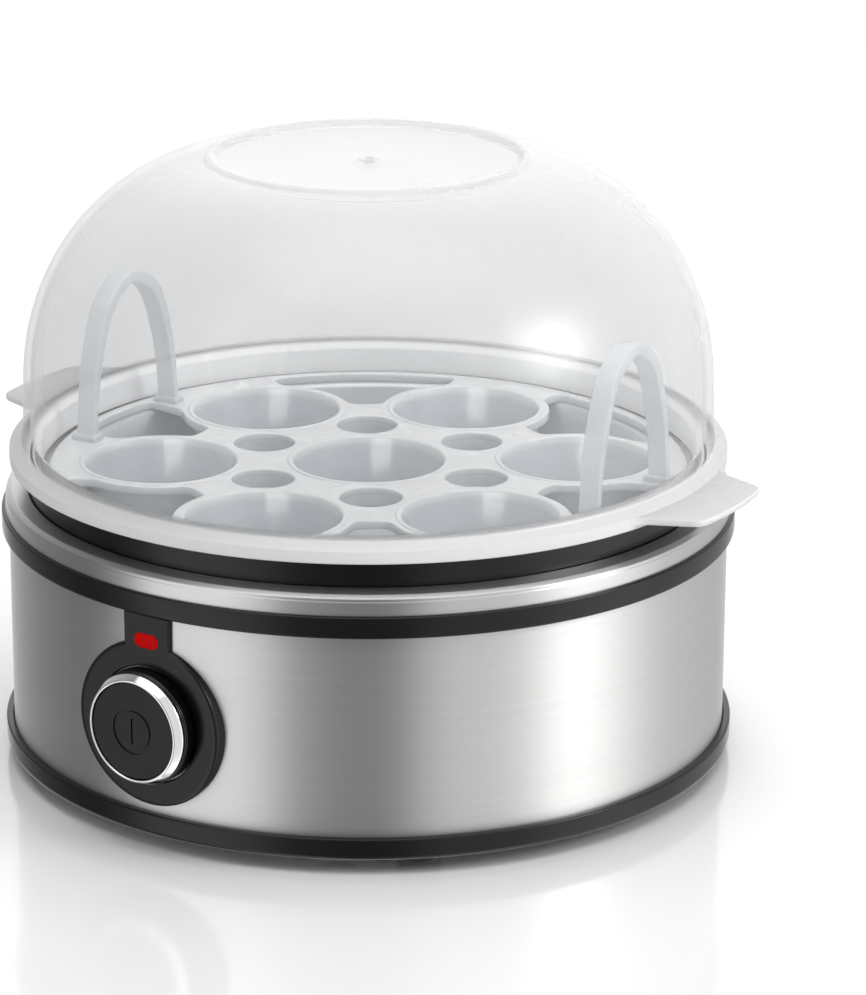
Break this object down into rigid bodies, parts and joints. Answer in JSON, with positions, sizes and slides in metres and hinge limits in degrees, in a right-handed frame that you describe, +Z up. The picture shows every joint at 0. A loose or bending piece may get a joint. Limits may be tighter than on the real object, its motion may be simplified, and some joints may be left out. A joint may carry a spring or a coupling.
{
  "type": "electric egg cooker",
  "caption": "Round electric egg cooker with a clear domed lid, a lift-out egg tray, a brushed steel body and a push button on the front.",
  "frame": {"origin": "on the axis of the round body, on the surface that the feet stand on", "axes": "+Z up along the axis of the round body, -Y towards the front with the push button, +X to the right"},
  "size_m": [0.2056, 0.1928, 0.152],
  "materials": {
    "clear_lid": "clear moulded plastic, lightly frosted, polished",
    "tray_plastic": "smooth pale grey moulded plastic",
    "handle_plastic": "translucent pale blue-grey moulded plastic",
    "black_plastic": "satin black moulded plastic",
    "cap_plastic": "smooth black moulded plastic",
    "shell_steel": "stainless steel brushed around the body",
    "collar_steel": "bright pressed stainless steel",
    "plate_steel": "pressed stainless steel, fine circular brushing",
    "chrome_trim": "bright chrome plating",
    "red_lens": "clear red moulded plastic",
    "lamp_glass": "clear glass neon bulb",
    "silicone": "grey silicone",
    "foot_rubber": "black rubber",
    "element_steel": "heat-tinted steel tube",
    "cast_aluminium": "as-cast aluminium",
    "plated_steel": "zinc-plated sheet steel",
    "spring_steel": "drawn spring wire",
    "switch_plastic": "dark moulded plastic",
    "thermostat_resin": "brown phenolic moulding with a metal cap",
    "fuse_sleeve": "woven glass sleeving",
    "block_plastic": "natural white moulded plastic",
    "wire_insulation": "white silicone insulation"
  },
  "bodies": {
    "root": {"heating_plate": "plate_steel", "plate_seal": "silicone", "heating_element": "element_steel", "element_casting": "cast_aluminium", "thermostat": "thermostat_resin", "thermostat_strap": "plated_steel", "strap_nuts": "plated_steel", "thermal_fuse": "fuse_sleeve", "fuse_clip": "plated_steel", "upper_housing": "black_plastic", "steel_collar": "collar_steel", "outer_shell": "shell_steel", "switch_panel": "black_plastic", "indicator_lens": "red_lens", "lamp_socket": "foot_rubber", "indicator_lamp": "lamp_glass", "button_spring": "spring_steel", "panel_screws": "plated_steel", "switch_bracket": "plated_steel", "switch_body": "switch_plastic", "base_ring": "black_plastic", "bottom_cover": "black_plastic", "rubber_feet": "foot_rubber", "housing_screws": "plated_steel", "cord_gland": "black_plastic", "terminal_block": "block_plastic", "live_wire": "wire_insulation", "neutral_wire": "wire_insulation", "switched_wire": "wire_insulation", "fuse_wire": "wire_insulation", "element_wire": "wire_insulation", "lamp_wires": "wire_insulation"},
    "tray": {"egg_tray": "tray_plastic", "tray_handle_right": "handle_plastic", "tray_handle_left": "handle_plastic"},
    "lid": {"lid": "clear_lid"},
    "button": {"button_skirt": "black_plastic", "button_chrome_ring": "chrome_trim", "button_cap": "cap_plastic", "switch_plunger": "block_plastic"}
  },
  "joints": [
    {"name": "tray_lift", "type": "slide", "parent": "root", "child": "tray", "axis": [0, 0, 1], "range_m": [0, 0.1]},
    {"name": "lid_lift", "type": "slide", "parent": "tray", "child": "lid", "axis": [0, 0, 1], "range_m": [0, 0.1]},
    {"name": "button_press", "type": "slide", "parent": "root", "child": "button", "axis": [0, 1, 0], "range_m": [0, 0.003], "stiffness_N_per_m": 800, "springref_m": -0.0006, "deforming": ["button_spring"]}
  ]
}
